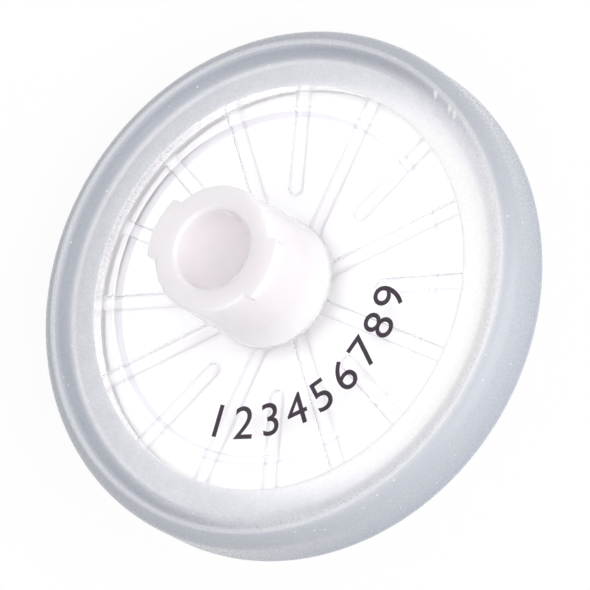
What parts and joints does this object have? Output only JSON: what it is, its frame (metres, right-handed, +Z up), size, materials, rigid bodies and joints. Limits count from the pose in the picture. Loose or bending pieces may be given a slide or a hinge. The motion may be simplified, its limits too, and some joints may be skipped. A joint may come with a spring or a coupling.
{
  "type": "syringe filter",
  "caption": "Disc syringe filter with a female luer lock inlet, a male luer slip outlet, a clamped membrane and a frosted overmoulded ring.",
  "frame": {"origin": "on the ground, under the middle of the part's box as it lies on its rim and the tip of its outlet", "axes": "+Z up; the inlet points up and towards -X, 33.6 degrees from +Z; +Y runs across the disc"},
  "size_m": [0.0254, 0.0286, 0.0184],
  "materials": {
    "clear_housing": "natural polypropylene, clear with a faint milky haze, glossy as moulded",
    "membrane": "white porous film, dead matt",
    "frosted_ring": "frosted translucent polypropylene with a cool blue-grey cast and fine specks"
  },
  "bodies": {
    "root": {"inlet_housing": "clear_housing", "outlet_housing": "clear_housing", "membrane": "membrane", "overmould_ring": "frosted_ring"}
  },
  "joints": []
}
